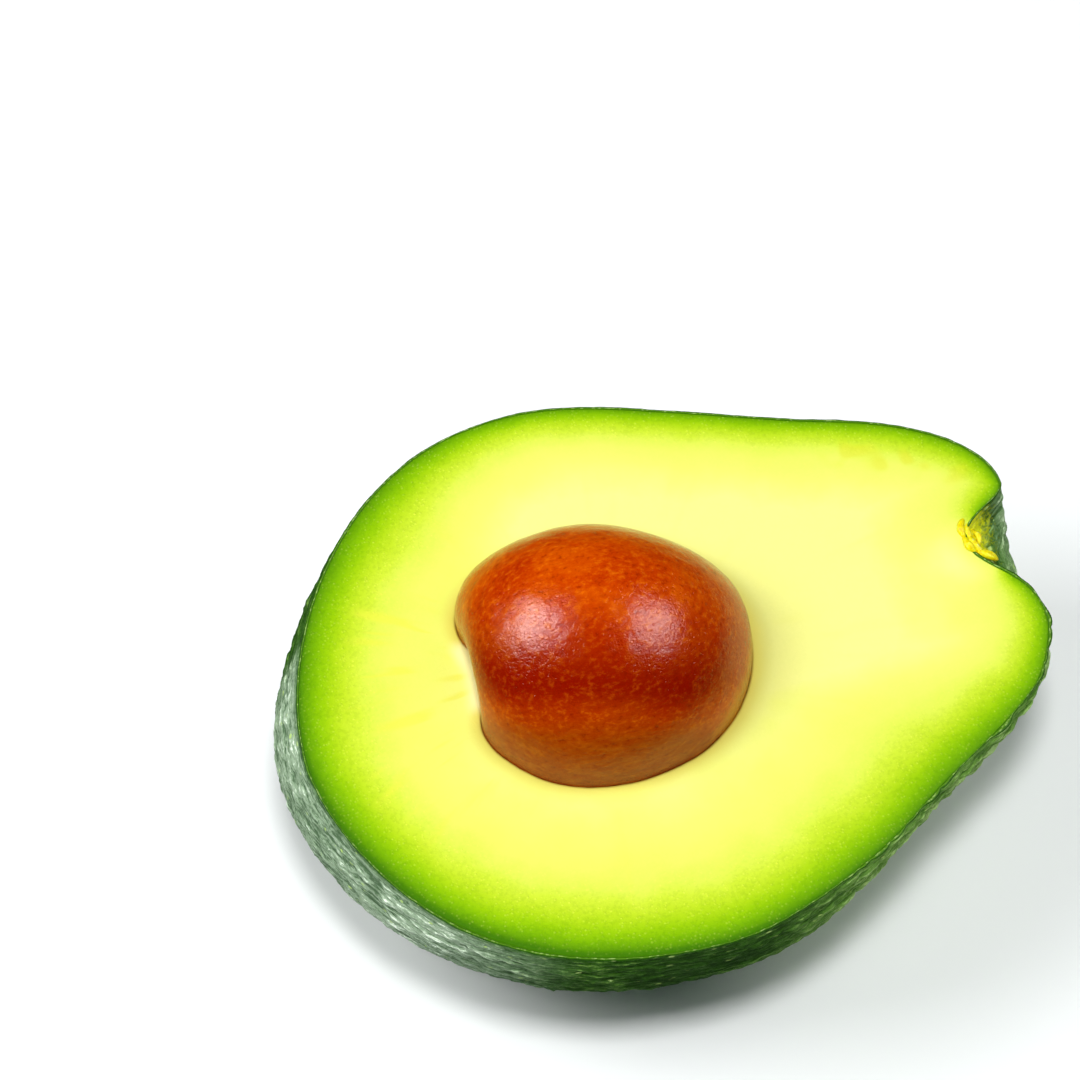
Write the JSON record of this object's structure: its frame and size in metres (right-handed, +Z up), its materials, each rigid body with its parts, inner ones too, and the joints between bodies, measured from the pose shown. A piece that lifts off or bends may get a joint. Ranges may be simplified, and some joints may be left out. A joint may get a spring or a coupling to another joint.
{
  "type": "halved avocado",
  "caption": "Pear-shaped avocado half with its seed in place, lying on its peel with the cut face level and up, and a small pit at the stem end.",
  "frame": {"origin": "on the surface the fruit lies on, under the middle of its bounding box", "axes": "+X along the fruit towards the stem end, +Y across it, +Z up out of the level cut face"},
  "size_m": [0.1032, 0.083, 0.0594],
  "materials": {
    "peel_skin": "satin",
    "ripe_flesh": "satin",
    "seed_coat": "gloss",
    "scar_cork": "matte"
  },
  "bodies": {
    "root": {"peel": "peel_skin", "flesh": "ripe_flesh", "seed": "seed_coat", "stem_scar": "scar_cork"}
  },
  "joints": []
}
